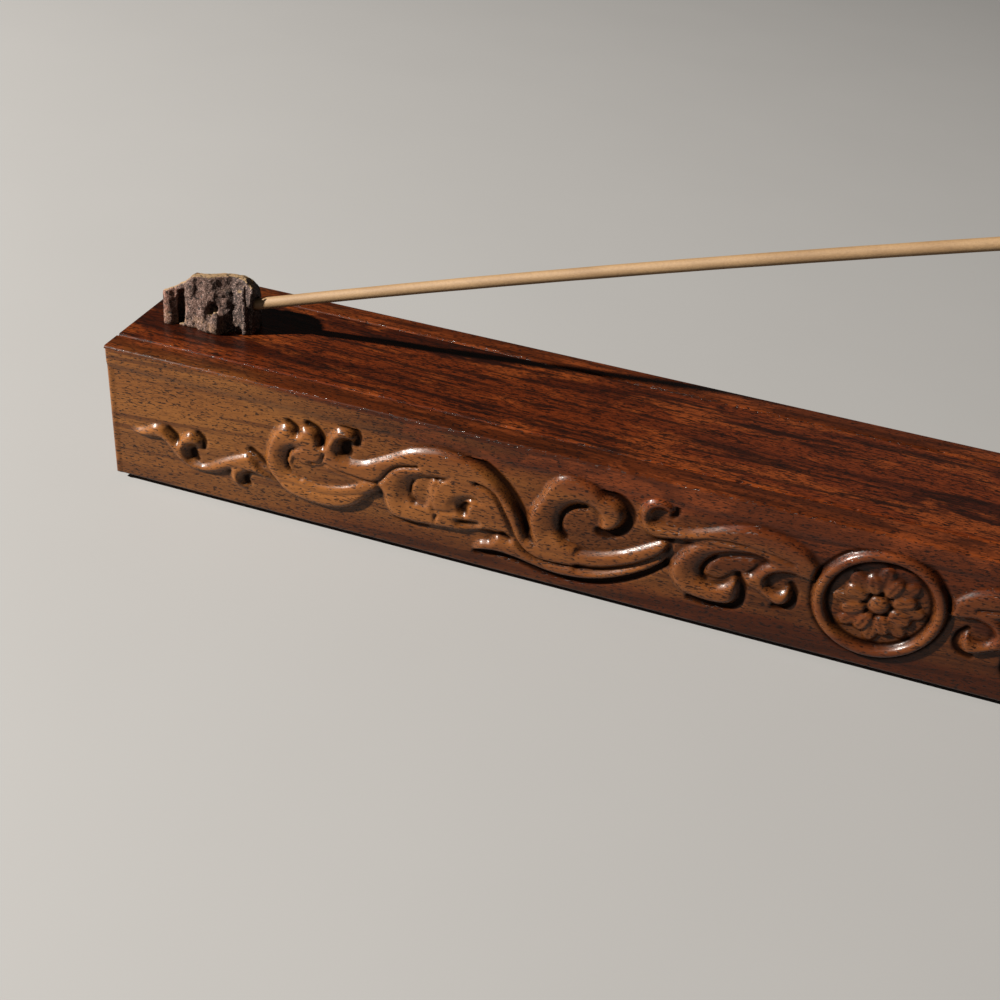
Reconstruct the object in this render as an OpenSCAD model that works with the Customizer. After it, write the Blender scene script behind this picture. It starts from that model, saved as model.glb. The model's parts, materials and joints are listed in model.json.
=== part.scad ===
// A carved wooden incense burner: a long box with a lid that slides out at its left end,
// a root-shaped holder on the lid, and one incense stick leaning out of the holder.
// The origin is on the table, under the middle of the box. X runs along the box, Y to its back.

/* [Box] */
// Length of the box, end to end
box_length = 290; // [270:1:330]
// Depth of the box, between the plain borders of its two long walls
box_depth = 36; // [34:1:44]
// Height of the wooden box, without its feet
box_height = 28; // [27:1:32]
// Thickness of the walls
wall = 5; // [5:0.5:6]
// Thickness of the bottom panel
panel = 3; // [2:0.5:4]
// Depth of the rabbets that the end walls and the bottom panel are glued into
rabbet = 2; // [1.5:0.1:2.5]

/* [Lid] */
// Thickness of the lid
lid = 5; // [4.5:0.1:6]
// Depth of the grooves that the lid's tongues run in
groove = 2; // [1.5:0.1:2.2]
// Clearance all round the lid's tongues
lid_play = 0.2; // [0.15:0.05:0.3]

/* [Carving] */
// Depth of the sunken ground behind the plain border
ground_depth = 0.3; // [0.2:0.1:0.8]
// Height of the carved scrolls above the sunken ground
relief = 1.2; // [0.9:0.1:1.8]
// Width of the plain border along the top edge
top_border = 4; // [3:0.5:5]
// Width of the plain border at each end
end_border = 1.2; // [1:0.1:2]
// Outer radius of the ring of the medallion
medallion_r = 11.2; // [10:0.1:11.5]
// Width of the ring of the medallion
medallion_ring = 2.4; // [2:0.1:3]

/* [Holder] */
// Length of the holder along the lid
holder_length = 18.4; // [17:0.1:22]
// Width of the holder across the lid
holder_width = 12; // [11:0.5:14]
// Height of the holder above the lid
holder_height = 10.4; // [10:0.1:13]
// Distance from the end of the box to the holder
holder_inset = 4.2; // [1:0.1:8]
// Height of the mouth of the stick's hole above the lid
hole_height = 5.8; // [5.5:0.1:6.5]
// Depth of the hole along its own axis
hole_depth = 8; // [7:0.5:9]
// Clearance all round the stick in its hole
stick_play = 0.06; // [0.03:0.01:0.1]
// Diameter of the two dowels under the holder
dowel_d = 2.5; // [2:0.5:2.5]
// Length of each dowel
dowel_length = 6; // [5:0.5:6.5]

/* [Stick] */
// Diameter of the incense stick
stick_d = 2.2; // [1.8:0.1:2.5]
// Length of the incense stick
stick_length = 210; // [120:5:215]
// Slope of the stick's hole above the lid, in degrees
stick_rise = 18.7; // [12:0.1:20]
// Radius of the long arc in which the stick droops
droop_r = 3000; // [2000:100:6000]

/* [Feet] */
// Diameter of each round foot pad
foot_d = 8; // [6:0.5:9]
// Thickness of each foot pad
foot_height = 1.3; // [1:0.1:3]

/* [Hidden] */
$fn = 64;

rosewood = "#6b3a24";
dark_rosewood = "#552a1c";
root_wood = "#4a3832";
beech = "#c9a26b";
joss = "#c8a878";
felt = "#3a322c";

half_length = box_length / 2;
half_depth = box_depth / 2;
base_z = foot_height;
top_z = base_z + box_height;
lip = lid / 2;                    // wood that covers the lid's tongue on each side
inner_y = half_depth - wall;      // inner faces of the long walls
tongue_y = inner_y + groove;      // bottoms of the lid's grooves
joint_y = inner_y + rabbet;       // ends of the end walls
arris = 0.5;                      // rounding of the long edges
arris_steps = 4;                  // straight steps in each rounded edge
stop_x = half_length - wall;      // inner face of the right end wall
lid_right = stop_x - lid_play;
cut = 1;                          // how far a cutting shape runs past a face

medallion_z = 13.9;               // above the bottom edge, as the scrolls are

// The scrolls of the left half, each a band along an arc:
// [distance from the middle, height, outer radius, width, first angle, last angle]
SCROLLS = [
  [135.5, 7.0, 6.3, 2.2, 50, 135],    // wave crest at the end
  [128.5, 11.5, 6.3, 2.6, 200, 320],  // trough of the wave
  [130.0, 9.8, 3.4, 1.4, -30, 110],   // curl over the trough
  [118.5, 2.0, 10.0, 3.0, 55, 115],   // stem
  [106.0, 13.2, 7.6, 3.4, 60, 330],   // first C-shaped scroll
  [98.5, 19.8, 3.4, 1.6, -60, 215],   // curl above it
  [79.0, 5.6, 18.2, 4.6, 18, 142],    // long arch
  [84.0, 12.9, 5.6, 2.2, 80, 310],    // scroll under the arch
  [74.5, 12.9, 5.4, 2.4, -20, 250],   // second scroll under the arch
  [54.5, 23.8, 20.8, 3.4, 205, 325],  // deep sweep under the spiral
  [53.5, 15.4, 9.2, 3.8, -35, 260],   // big spiral
  [39.5, 20.7, 3.6, 1.7, -30, 260],   // curl after the spiral
  [23.0, 8.6, 14.6, 3.6, 52, 140],    // low arch
  [28.0, 12.2, 7.4, 3.4, 75, 350],    // scroll under the low arch
  [17.6, 12.9, 4.6, 2.2, 70, 345],    // small scroll beside the medallion
];

petals = 8;
petal_r = 1.9;
petal_ring = 4.6;                 // distance of each petal's centre from the medallion's
boss_r = 2.2;

holder_left = -half_length + holder_inset;
holder_top = top_z + holder_height;
dome_r = 1.6 * holder_length;     // the holder's domed top is part of a sphere
dome_x = holder_left + 0.72 * holder_length;
dome_y = -0.8 * holder_width;     // in front of the box's middle, so that the top falls to the back
knot_x = holder_left + 0.56 * holder_length;
knot_y = -0.4 * holder_width;
knot_z = top_z + 4.6;
knot_d = 2;
knot_depth = 2;

stick_r = stick_d / 2;
hole_r = stick_r + stick_play;
hole_x = holder_left + holder_length;
hole_z = top_z + hole_height;
droop_angle = stick_length / droop_r * 180 / PI;

// Points of an arc in a plane, for polygon outlines
function arc(centre, r, from, to, steps) =
  [for (i = [0:steps]) centre + r * [cos(from + (to - from) * i / steps),
                                     sin(from + (to - from) * i / steps)]];

// A rectangle with its two upper corners rounded, as polygon points
function bar(width, height, r) = concat(
  [[-width / 2, 0], [width / 2, 0]],
  arc([width / 2 - r, height - r], r, 0, 90, arris_steps),
  arc([-width / 2 + r, height - r], r, 90, 180, arris_steps)
);

// Runs a shape drawn in the Y-Z plane along X, from x0 to x1
module along_x(x0, x1) {
  translate([x0, 0, 0]) rotate([90, 0, 90]) linear_extrude(x1 - x0) children();
}

// One carved band, flat, in the plane of the wall: X is measured to the left
module band(row) {
  r = row[2];
  // a wedge that holds the band's whole width, in steps of at most 60 degrees
  steps = ceil((row[5] - row[4]) / 60);
  reach = 2.2 * r;
  translate([-row[0], row[1]]) mirror([1, 0]) intersection() {
    difference() {
      circle(r);
      circle(r - row[3]);
    }
    polygon(concat([[0, 0]], arc([0, 0], reach, row[4], row[5], steps)));
  }
}

// The medallion: a plain ring round a rosette
module medallion() {
  difference() {
    circle(medallion_r);
    circle(medallion_r - medallion_ring);
  }
  circle(boss_r);
  for (i = [0:petals - 1])
    rotate(i * 360 / petals) translate([petal_ring, 0]) circle(petal_r);
}

// Everything that is carved on one long wall, standing on the sunken ground
module carving() {
  translate([0, -half_depth + ground_depth, base_z]) rotate([90, 0, 0]) {
    for (row = SCROLLS) {
      linear_extrude(relief) band(row);
      linear_extrude(relief) mirror([1, 0]) band(row);
    }
    linear_extrude(relief) translate([0, medallion_z]) medallion();
  }
}

// The wood of one long wall, before carving, with all its joints cut
module long_wall() {
  difference() {
    along_x(-half_length, half_length)
      translate([-half_depth + wall / 2, base_z]) polygon(bar(wall, box_height, arris));
    // groove of the lid, open at the left end
    translate([-half_length - cut, -tongue_y, top_z - lid])
      cube([box_length + cut - wall, groove + cut, lid - lip]);
    // seats of the end walls
    translate([-half_length - cut, -joint_y, base_z - cut])
      cube([wall + cut, rabbet + cut, box_height - lid + cut]);
    translate([stop_x, -joint_y, base_z - cut])
      cube([wall + cut, rabbet + cut, box_height + 2 * cut]);
    // seat of the bottom panel
    translate([-half_length + wall - rabbet, -joint_y, base_z - cut])
      cube([box_length - 2 * (wall - rabbet), rabbet + cut, panel + cut]);
    // sunken ground of the carving
    translate([-half_length + end_border, -half_depth - cut, base_z - cut])
      cube([box_length - 2 * end_border, ground_depth + cut, box_height - top_border + cut]);
  }
}

module front_wall() {
  color(rosewood) {
    long_wall();
    carving();
  }
}

module back_wall() {
  color(rosewood) mirror([0, 1, 0]) {
    long_wall();
    carving();
  }
}

// An end wall with its seat for the bottom panel; side is -1 for left and 1 for right
module end_wall(side, height) {
  difference() {
    translate([side * (half_length - wall / 2) - wall / 2, -joint_y, base_z])
      cube([wall, 2 * joint_y, height]);
    translate([side * (half_length - wall) - rabbet, -joint_y - cut, base_z - cut])
      cube([2 * rabbet, 2 * (joint_y + cut), panel + cut]);
  }
}

module left_end_wall() {
  color(dark_rosewood) end_wall(-1, box_height - lid - lid_play / 2);
}

module right_end_wall() {
  color(dark_rosewood) end_wall(1, box_height);
}

module bottom_panel() {
  length = box_length - 2 * (wall - rabbet);
  color(dark_rosewood) translate([-length / 2, -joint_y, base_z]) cube([length, 2 * joint_y, panel]);
}

module foot_pads() {
  inset_x = foot_d;
  inset_y = wall + foot_d / 2;
  color(felt)
    for (sx = [-1, 1], sy = [-1, 1])
      translate([sx * (half_length - inset_x), sy * (half_depth - inset_y), 0])
        cylinder(d = foot_d, h = foot_height);
}

// The lid: a flat bar with a tongue along each side, over the left end wall up to the right one
module sliding_lid() {
  bar_width = 2 * (inner_y - lid_play);
  tongue_width = 2 * (tongue_y - lid_play);
  under_z = top_z - lid + lid_play / 2;
  tongue = lid - lip - 1.5 * lid_play;
  color(rosewood) difference() {
    union() {
      along_x(-half_length, lid_right)
        translate([0, under_z]) polygon(bar(bar_width, lid - lid_play / 2, arris));
      translate([-half_length, -tongue_width / 2, under_z])
        cube([lid_right + half_length, tongue_width, tongue]);
    }
    holder_dowels();
  }
}

// Outline of the holder's foot, as fractions of its length and of half its width: a lobe and a cleft
// at the left, a bulge in front, and a corner cut away towards the stick
HOLDER_OUTLINE = [[0, 0.1], [0.02, -0.62], [0.08, -0.74], [0.19, -0.7], [0.21, -0.35], [0.3, -0.35],
                  [0.32, -0.75], [0.52, -0.82], [0.62, -0.95], [0.68, -0.92], [0.72, -0.62],
                  [0.87, -0.34], [1, -0.32], [1, 0.5], [0.85, 0.8], [0.6, 0.9], [0.45, 1],
                  [0.2, 0.9], [0.05, 0.6]];

// The wood of the holder: its outline, with a domed top that is lower at the left end
module holder_block() {
  intersection() {
    translate([holder_left, 0, top_z])
      linear_extrude(holder_height)
        polygon([for (p = HOLDER_OUTLINE) [p[0] * holder_length, p[1] * holder_width / 2]]);
    translate([dome_x, dome_y, holder_top - dome_r])
      sphere(dome_r, $fn = 96);
  }
}

module stick_holder() {
  color(root_wood) difference() {
    holder_block();
    on_hole_axis() translate([-hole_depth, 0, 0]) rotate([0, 90, 0])
      cylinder(r = hole_r, h = hole_depth + holder_length);
    // knot hole in the front
    translate([knot_x, knot_y, knot_z]) rotate([90, 0, 0])
      cylinder(d = knot_d, h = 2 * knot_depth, center = true);
    holder_dowels();
  }
}

// Two dowels between the end of the stick's hole and the left end of the holder
module holder_dowels() {
  first_x = hole_x - hole_depth - dowel_d;
  spacing = (holder_length - hole_depth - dowel_d) / 2;
  color(beech)
    for (i = [0, 1])
      translate([first_x - i * spacing, 0, top_z - dowel_length / 2])
        cylinder(d = dowel_d, h = dowel_length);
}

// Places its children with X along the stick's hole, from the mouth of the hole outwards
module on_hole_axis() {
  translate([hole_x, 0, hole_z]) rotate([0, -stick_rise, 0]) children();
}

// The stick: one long arc that starts along the axis of its hole and droops away from it
module incense_stick() {
  seat_gap = 0.1;                   // between the stick's end and the bottom of its hole
  color(joss) on_hole_axis() translate([seat_gap - hole_depth, 0, -droop_r])
    rotate([90, 0, 0]) rotate([0, 0, 90 - droop_angle])
      rotate_extrude(angle = droop_angle) translate([droop_r, 0]) circle(stick_r);
}

front_wall();
back_wall();
left_end_wall();
right_end_wall();
bottom_panel();
foot_pads();
sliding_lid();
stick_holder();
holder_dowels();
incense_stick();
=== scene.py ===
"""A carved rosewood incense burner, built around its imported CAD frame. Lengths are in millimetres
until a mesh is made, and then in metres."""

import json
import math

import bmesh
import bpy
import numpy as np
from mathutils import Matrix, Vector


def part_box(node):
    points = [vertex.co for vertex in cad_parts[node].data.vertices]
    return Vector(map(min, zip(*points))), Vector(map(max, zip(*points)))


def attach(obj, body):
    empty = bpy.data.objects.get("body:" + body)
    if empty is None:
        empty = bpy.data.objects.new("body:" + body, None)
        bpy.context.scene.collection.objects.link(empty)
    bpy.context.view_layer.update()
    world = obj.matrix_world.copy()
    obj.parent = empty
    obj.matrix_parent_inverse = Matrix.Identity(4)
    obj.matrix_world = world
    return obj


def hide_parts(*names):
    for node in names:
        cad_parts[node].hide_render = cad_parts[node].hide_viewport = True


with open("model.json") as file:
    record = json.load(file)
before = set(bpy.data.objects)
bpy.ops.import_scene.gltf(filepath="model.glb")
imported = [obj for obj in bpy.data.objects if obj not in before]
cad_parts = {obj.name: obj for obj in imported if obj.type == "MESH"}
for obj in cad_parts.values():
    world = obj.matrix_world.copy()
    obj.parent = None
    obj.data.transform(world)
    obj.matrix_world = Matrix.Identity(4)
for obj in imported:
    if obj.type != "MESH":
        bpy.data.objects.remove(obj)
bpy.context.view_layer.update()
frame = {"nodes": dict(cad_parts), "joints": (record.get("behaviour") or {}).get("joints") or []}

MM = 0.001


def box_mm(node):
    """A CAD node's lowest and highest corner, in millimetres."""
    low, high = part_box(node)
    return np.array(low) / MM, np.array(high) / MM


# ---------------- sizes read from the frame

wall_low, wall_high = box_mm("front_wall")
end_low, end_high = box_mm("right_end_wall")
holder_low, holder_high = box_mm("stick_holder")
stick_low, stick_high = box_mm("incense_stick")

HALF = wall_high[0]  # half the box's length
BASE = wall_low[2]  # underside of the box
TOP = wall_high[2]  # top of the walls
WALL = end_high[0] - end_low[0]  # thickness of all four walls
GROUND_DEPTH = 0.3  # how far the carving's ground is sunk behind the plain border

# Distances from the middle of the box, across it
INNER = -wall_high[1]  # to the long walls' inner faces
FACE = INNER + WALL  # to the plain border of the long walls
GROUND = FACE - GROUND_DEPTH  # to the sunken ground of the carving
RELIEF_Y = -wall_low[1]  # to the crests of the carving
SEAT = end_high[1]  # to the ends of the end walls

# Heights
PANEL_TOP = box_mm("bottom_panel")[1][2]
LEFT_DROP = 0.1  # how far the left end wall stays below the floor of the lid's grooves
LID_FLOOR = box_mm("left_end_wall")[1][2] + LEFT_DROP  # floor of the lid's grooves
LIP = (TOP + LID_FLOOR) / 2  # underside of the lip over each groove

# ---------------- camera, floor and lights

CAMERA_AT = (-24.5, -198.0, 144.6)
CAMERA_LOOKS_AT = (-71.5, 0.0, 4.5)
CAMERA_ROLL = math.radians(6.37)
CAMERA_LENS = 45.5


def add_camera():
    data = bpy.data.cameras.new("camera")
    data.lens = CAMERA_LENS
    data.sensor_width = 36.0
    data.clip_start = 0.01
    data.clip_end = 20.0
    camera = bpy.data.objects.new("camera", data)
    bpy.context.scene.collection.objects.link(camera)
    place = Vector(CAMERA_AT) * MM
    look = Vector(CAMERA_LOOKS_AT) * MM - place
    turn = look.to_track_quat("-Z", "Y").to_matrix().to_4x4()
    camera.matrix_world = Matrix.Translation(place) @ turn @ Matrix.Rotation(CAMERA_ROLL, 4, "Z")
    bpy.context.scene.camera = camera


def area_light(name, at, size, power, colour):
    """A square softbox that faces the middle of the box: at and size in metres, power in watts."""
    data = bpy.data.lights.new(name, "AREA")
    data.shape = "SQUARE"
    data.size = size
    data.energy = power
    data.color = colour
    light = bpy.data.objects.new(name, data)
    bpy.context.scene.collection.objects.link(light)
    light.location = at
    aim = Vector((0.0, 0.0, 0.02)) - Vector(at)
    light.rotation_euler = aim.to_track_quat("-Z", "Y").to_euler()


def add_lights():
    area_light("key", (-1.22, -0.62, 0.9), 0.05, 100.0, (1.0, 0.95, 0.88))
    area_light("fill", (0.7, -1.1, 0.9), 1.2, 0.4, (1.0, 0.97, 0.93))
    area_light("back", (0.3, 1.2, 0.9), 1.0, 0.3, (1.0, 0.98, 0.95))
    world = bpy.data.worlds.new("studio")
    world.use_nodes = True
    world.node_tree.nodes["Background"].inputs["Color"].default_value = (1.0, 0.96, 0.92, 1.0)
    world.node_tree.nodes["Background"].inputs["Strength"].default_value = 0.04
    bpy.context.scene.world = world


def mesh_object(name, vertices, faces, smooth_below=None):
    """A mesh object from millimetre points; edges sharper than smooth_below degrees stay sharp."""
    mesh = bpy.data.meshes.new(name)
    mesh.from_pydata((np.asarray(vertices, float) * MM).tolist(), [], faces)
    tidy = bmesh.new()
    tidy.from_mesh(mesh)
    bmesh.ops.remove_doubles(tidy, verts=tidy.verts, dist=1e-6)
    bmesh.ops.dissolve_degenerate(tidy, edges=tidy.edges, dist=1e-7)
    bmesh.ops.recalc_face_normals(tidy, faces=tidy.faces)
    tidy.to_mesh(mesh)
    tidy.free()
    if smooth_below is not None:
        mesh.shade_smooth()
        mesh.set_sharp_from_angle(angle=math.radians(smooth_below))
    piece = bpy.data.objects.new(name, mesh)
    bpy.context.scene.collection.objects.link(piece)
    return piece


def add_floor():
    reach = 4000.0
    points = [(-reach, -reach, 0), (reach, -reach, 0), (reach, reach, 0), (-reach, reach, 0)]
    floor = mesh_object("floor", points, [(0, 1, 2, 3)])
    floor.data.materials.append(floor_paint())


# ---------------- materials

# The hollow attribute drives the painted shade in the walls' material.
HOLLOW_NAME = "hollow"  # mesh attribute: 1 in the deep places of the carving, 0 elsewhere


class Nodes:
    """A short way to write a material's node tree."""

    def __init__(self, name):
        self.material = bpy.data.materials.new(name)
        self.material.use_nodes = True
        self.tree = self.material.node_tree
        self.shader = self.tree.nodes["Principled BSDF"]

    def add(self, kind, inputs=None, **settings):
        node = self.tree.nodes.new(kind)
        for key, value in settings.items():
            setattr(node, key, value)
        for key, value in (inputs or {}).items():
            self.feed(node.inputs[key], value)
        return node

    def feed(self, socket, value):
        if isinstance(value, bpy.types.NodeSocket):
            self.tree.links.new(value, socket)
        elif isinstance(value, (tuple, list)) and len(value) == 3 and socket.type == "RGBA":
            socket.default_value = (*value, 1.0)
        else:
            socket.default_value = value

    def set(self, name, value):
        """Gives an input of the shader a value or a link."""
        self.feed(self.shader.inputs[name], value)

    def position(self):
        """The point on the object, in millimetres."""
        place = self.add("ShaderNodeTexCoord").outputs["Object"]
        return self.vector("SCALE", place, scale=1 / MM)

    def vector(self, operation, a, b=None, scale=None):
        node = self.add("ShaderNodeVectorMath", operation=operation)
        self.feed(node.inputs[0], a)
        if b is not None:
            self.feed(node.inputs[1], b)
        if scale is not None:
            self.feed(node.inputs["Scale"], scale)
        return node.outputs["Vector"]

    def math(self, operation, a, b=0.0, clamp=False):
        node = self.add("ShaderNodeMath", operation=operation, use_clamp=clamp)
        self.feed(node.inputs[0], a)
        self.feed(node.inputs[1], b)
        return node.outputs["Value"]

    def noise(self, place, scale=1.0, detail=2.0, roughness=0.5, distortion=0.0):
        """Noise at a scale, or at one for each axis."""
        if isinstance(scale, tuple):
            place, scale = self.vector("MULTIPLY", place, scale), 1.0
        inputs = {"Vector": place, "Scale": scale, "Detail": detail, "Roughness": roughness,
                  "Distortion": distortion}
        return self.add("ShaderNodeTexNoise", inputs).outputs["Fac"]

    def remap(self, value, low, high, to_low=0.0, to_high=1.0, smooth=True):
        """value from low to high becomes to_low to to_high, and stays within them."""
        inputs = {"Value": value, "From Min": low, "From Max": high, "To Min": to_low, "To Max": to_high}
        node = self.add("ShaderNodeMapRange", inputs)
        node.interpolation_type = "SMOOTHSTEP" if smooth else "LINEAR"
        return node.outputs["Result"]

    def mix(self, factor, a, b):
        node = self.add("ShaderNodeMix", data_type="RGBA")
        self.feed(node.inputs["Factor"], factor)
        self.feed(node.inputs["A"], a)
        self.feed(node.inputs["B"], b)
        return node.outputs["Result"]

    def part(self, place, axis):
        return self.add("ShaderNodeSeparateXYZ", {"Vector": place}).outputs[axis]

    def bump(self, height, strength, distance, normal=None):
        inputs = {"Height": height, "Strength": strength, "Distance": distance}
        if normal is not None:
            inputs["Normal"] = normal
        return self.add("ShaderNodeBump", inputs).outputs["Normal"]


def floor_paint():
    m = Nodes("floor_paint")
    speck = m.noise(m.position(), scale=0.02, detail=3.0)
    m.set("Base Color", m.mix(speck, (0.21, 0.21, 0.21), (0.22, 0.22, 0.22)))
    m.set("Roughness", 0.75)
    return m.material


PORE_BLACK = (0.004, 0.0015, 0.001)
# painted shade: the colour that the deep places of the carving are painted, standing in for the shadow in
# them
HOLLOW_SHADE_BLACK = (0.003, 0.0012, 0.0008)
CREST_LIGHT = (0.215, 0.076, 0.017)  # crests of the carving, rubbed bright, where the wood is light
CREST_DARK = (0.095, 0.026, 0.008)  # the same, in the dark heartwood


def heart_and_shade_turn(m, point, place):
    """How far the wood has turned to the dark colour, from 0 to 1: towards the right end, as dark
    heartwood and painted fall-off of the light; at the lower edge, as painted shade; in the upper part and
    on the top face, in clouds."""
    x, z = m.part(point, "X"), m.part(point, "Z")
    # painted fall-off of the light, with darker heartwood: darker towards the right end
    turn = m.remap(x, -130.0, 25.0, smooth=False)
    # painted shade along the lower edge
    lower_edge_shade = m.remap(z, BASE + 7.0, BASE + 1.0, 0.0, 0.4)
    upper_part = m.math("MULTIPLY", m.remap(z, TOP - 9.0, TOP - 2.5), m.remap(x, -118.0, -55.0, 0.0, 0.6))
    top_face = m.remap(z, TOP - 1.4, TOP - 0.2, 0.0, 0.8)
    cloud = m.noise(place, (0.03, 0.12, 0.12), detail=3.0)
    turn = m.math("ADD", turn, m.math("ADD", lower_edge_shade, upper_part))
    turn = m.math("ADD", turn, top_face)
    return m.math("ADD", turn, m.remap(cloud, 0.36, 0.64, -0.2, 0.2), clamp=True)


def lower_shade_and_crest_wear(m, point, colour, streak, turn):
    """Paints shade along the lower edge towards the right end, and brightens the crests of the carving,
    where they are rubbed.
    """
    x, z = m.part(point, "X"), m.part(point, "Z")
    crest = m.remap(m.math("ABSOLUTE", m.part(point, "Y")), GROUND + 0.2, RELIEF_Y, 0.0, 0.4)
    # painted shade: the lower edge is painted darker towards the right end
    shade = m.math("MULTIPLY", m.remap(z, BASE + 7.0, BASE + 1.0, 0.0, 0.6), m.remap(x, -60.0, 20.0))
    colour = m.mix(shade, colour, streak)
    return m.mix(crest, colour, m.mix(turn, CREST_LIGHT, CREST_DARK))


def open_pores(m, place, grain_axis):
    """Short open pores along the grain, thicker in some places: 1 in a pore and 0 elsewhere."""
    pore_way = (1.0, 4.0, 4.0) if grain_axis == "X" else (4.0, 4.0, 1.0)
    pores = m.noise(place, pore_way, detail=1.5, roughness=0.5, distortion=0.4)
    density = m.noise(place, (0.07, 0.22, 0.22), detail=2.0)
    return m.remap(m.math("ADD", pores, m.math("MULTIPLY", density, 0.14)), 0.655, 0.69)


def rosewood(name, tones, seed, heart_and_shade=None, warm_and_sheen=None, grain_axis="X", gloss=0.26, figure=0.0):
    """Oiled rosewood: long streaks, fine fibres and short open pores along the grain. tones are its light,
    dark and streak colours; the heart colour is the darker colour that a wall turns to, partly dark
    heartwood and partly painted shade; the warm colour is that of its warm patches, which on the walls are
    painted sheen along the upper edge; seed moves the pattern; figure is how sharply the streaks stand
    out, from 0 to 1. The deep places of the carving are painted near black and lose their sheen, as
    painted shade."""
    light, dark, streak = tones
    m = Nodes(name)
    point = m.position()
    place = m.vector("ADD", point, (seed * 37.0, seed * 11.0, seed * 23.0))
    long_way = (1.0, 1.0, 0.028)
    if grain_axis == "X":
        rise = m.math("MULTIPLY", m.part(point, "X"), -0.06)
        place = m.vector("ADD", place, m.add("ShaderNodeCombineXYZ", {"Z": rise}).outputs[0])
        long_way = (0.028, 1.0, 1.0)
    along = m.vector("MULTIPLY", place, long_way)
    wander = m.noise(place, (0.02, 0.05, 0.05), detail=2.0)
    along = m.vector("ADD", along, m.vector("SCALE", (0.0, 3.0, 3.0), scale=wander))

    if heart_and_shade is not None:
        # the dark colour stands partly for heartwood and partly for painted shade
        turn = heart_and_shade_turn(m, point, place)
        light = m.mix(turn, light, heart_and_shade)
        dark = m.mix(turn, dark, tuple(0.62 * c for c in heart_and_shade))
        streak = m.mix(turn, streak, tuple(0.3 * c for c in heart_and_shade))

    broad = m.noise(along, scale=0.16, detail=2.0, roughness=0.55)
    bands = m.noise(along, scale=0.62, detail=4.0, roughness=0.6)
    fibres = m.noise(m.vector("MULTIPLY", along, (4.0, 1.0, 1.0)), scale=4.2, detail=3.0, roughness=0.7)
    spread = 0.1 - 0.05 * figure
    colour = m.mix(m.remap(broad, 0.5 - spread, 0.5 + spread), light, dark)
    if warm_and_sheen is not None:
        patch = m.noise(place, (0.045, 0.13, 0.13), detail=4.0, roughness=0.7)
        patch = m.remap(patch, 0.49, 0.6, 0.0, 0.9)
        # on the walls the warm patches are painted sheen, kept to the upper edge where the wood is dark
        if heart_and_shade is not None:
            patch = m.math("MULTIPLY", patch, m.remap(m.part(point, "Z"), TOP - 8.0, TOP - 3.0))
            patch = m.math("MULTIPLY", patch, turn)
        colour = m.mix(patch, colour, warm_and_sheen)
    colour = m.mix(m.remap(bands, 0.5, 0.55 + spread, 0.0, 0.8), colour, streak)
    colour = m.mix(m.remap(fibres, 0.47, 0.53 + 1.5 * spread, 0.0, 0.6), colour, streak)
    if figure > 0.5:
        dashes = m.noise(place, (0.35, 2.2, 2.2), detail=2.0, roughness=0.6)
        colour = m.mix(m.remap(dashes, 0.57, 0.62, 0.0, 0.85), colour, streak)
    # painted shade along the lower edge, and the rubbed crests
    if heart_and_shade is not None:
        colour = lower_shade_and_crest_wear(m, point, colour, streak, turn)
    pores = open_pores(m, place, grain_axis)
    colour = m.mix(m.math("MULTIPLY", pores, 0.85), colour, PORE_BLACK)
    # painted shade: the deep places of the carving are painted near black
    hollow = m.add("ShaderNodeAttribute", attribute_name=HOLLOW_NAME).outputs["Fac"]
    colour = m.mix(m.math("MULTIPLY", hollow, 0.93), colour, HOLLOW_SHADE_BLACK)
    m.set("Base Color", colour)

    m.set("Roughness", m.remap(bands, 0.3, 0.7, gloss, gloss + 0.12))
    # painted shade: the deep places of the carving also lose their sheen
    m.set("Specular IOR Level", m.remap(hollow, 0.0, 1.0, 0.15, 0.02))
    m.set("Coat Weight", m.remap(hollow, 0.0, 1.0, 0.1, 0.0))
    m.set("Coat Roughness", 0.12)
    ripple = m.noise(place, (0.35, 0.8, 0.8), detail=3.0, roughness=0.6)
    normal = m.bump(ripple, 0.35, 0.00012)
    normal = m.bump(m.math("SUBTRACT", fibres, m.math("MULTIPLY", pores, 2.0)), 0.4, 0.00005, normal)
    m.set("Normal", normal)
    m.set("Coat Normal", normal)
    return m.material


# ---------------- carving of the long walls
#
# The carving is drawn in wall heights: across from the left end of the wall, and up from its
# bottom edge. The right half mirrors the left half about the medallion.

MIDDLE = 5.2  # where the medallion is, in wall heights
UNIT = HALF / MIDDLE  # millimetres in one of them
CELL = 0.27  # spacing of the carved surface's points
BORDER_TOP = 4.0  # plain border along the top edge
BORDER_END = 1.2  # plain border at each end
END_STEP = 0.1  # how far the end borders stand out
TOP_SLOPE = 1.6  # width of the slope from the top border down to the ground
END_SLOPE = 0.7  # the same, at the end borders
ROUND_OFF = 0.5  # radius of the walls' top edges
END_WEAR = 0.4  # how far the walls' end edges are worn back
FOOT_WEAR = 0.3  # the same, along their lower edge
RELIEF = RELIEF_Y - GROUND


def curve(points, steps=8):
    """A smooth line through given points (a Catmull-Rom curve)."""
    p = np.array(points, float)
    if len(p) < 3:
        return p
    p = np.vstack([2 * p[0] - p[1], p, 2 * p[-1] - p[-2]])
    t = np.linspace(0, 1, steps, endpoint=False)[:, None]
    spans = []
    for a, b, c, d in zip(p, p[1:], p[2:], p[3:]):
        spans.append(0.5 * (2 * b + (c - a) * t + (2 * a - 5 * b + 4 * c - d) * t**2
                            + (3 * b - a - 3 * c + d) * t**3))
    return np.vstack([*spans, p[-2:-1]])


def outline(*strokes):
    """A closed outline of smooth strokes with corners between: each starts where the last one ended."""
    lines, start = [], []
    for stroke in strokes:
        lines.append(curve([*start, *stroke]))
        start = [stroke[-1]]
    return np.vstack(lines)


def loop(*points):
    """A closed outline of one smooth stroke."""
    return curve([*points, points[0]])


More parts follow.
